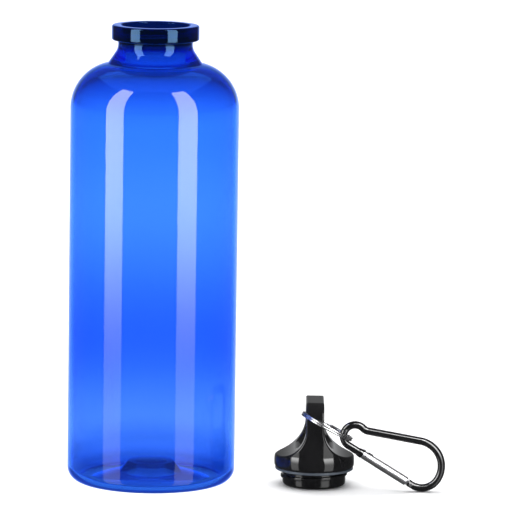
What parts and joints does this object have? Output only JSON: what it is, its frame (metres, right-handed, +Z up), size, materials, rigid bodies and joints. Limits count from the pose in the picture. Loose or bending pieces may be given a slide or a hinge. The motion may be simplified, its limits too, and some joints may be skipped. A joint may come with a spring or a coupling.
{
  "type": "sports bottle",
  "caption": "Rigid clear blue sports bottle standing open beside its black screw cap, whose carrying loop holds a split ring and a small snap hook.",
  "frame": {"origin": "centre of the bottle's standing ring, on the surface it stands on", "axes": "+Z up along the bottle's axis; +X from the bottle to its cap; -Y is the front"},
  "size_m": [0.1655, 0.0734, 0.201],
  "materials": {
    "clear_blue": "clear tinted, polished",
    "cap_black": "glossy moulded",
    "plug_black": "semi-gloss moulded",
    "seal_grey": "satin silicone",
    "ring_steel": "nickel-plated wire",
    "hook_black": "black anodised, glossy",
    "gate_silver": "satin turned",
    "pin_steel": "bright drawn wire"
  },
  "bodies": {
    "bottle": {"bottle": "clear_blue"},
    "gasket": {"cap_gasket": "seal_grey"},
    "cap": {"cap_shell": "cap_black", "cap_plug": "plug_black"},
    "ring": {"split_ring": "ring_steel"},
    "hook": {"carabiner_hook": "hook_black", "gate_rivet": "pin_steel"},
    "gate": {"carabiner_gate": "gate_silver", "latch_pin": "pin_steel", "gate_spring": "pin_steel"},
    "plunger": {"gate_plunger": "pin_steel"}
  },
  "joints": [
    {"name": "cap_lift", "type": "slide", "parent": "bottle", "child": "gasket", "axis": [0, 0, 1], "range_m": [0, 0.24]},
    {"name": "cap_turn", "type": "hinge", "parent": "gasket", "child": "cap", "pos_m": [0.0718, -0.005, 0.0075], "axis": [0, 0, 1], "range_deg": [-130, 130]},
    {"name": "ring_swing", "type": "hinge", "parent": "cap", "child": "ring", "pos_m": [0.0669, -0.0196, 0.0339], "axis": [0, 1, 0], "range_deg": [-10, 0]},
    {"name": "carabiner_swing", "type": "hinge", "parent": "ring", "child": "hook", "pos_m": [0.08742, -0.0196, 0.02317], "axis": [0, 1, 0], "range_deg": [-50, 0]},
    {"name": "gate_open", "type": "hinge", "parent": "hook", "child": "gate", "pos_m": [0.1138, -0.019, 0.00335], "axis": [0, 1, 0], "range_deg": [0, 18], "stiffness_Nm_per_rad": 0.02, "springref_deg": -28.65},
    {"name": "plunger_travel", "type": "slide", "parent": "gate", "child": "plunger", "axis": [-0.8526, 0, 0.5225], "range_m": [0, 0.00035]}
  ],
  "couplings": [
    {"joint": "plunger_travel", "follows": "gate_open", "m_per_rad": 0.001}
  ]
}
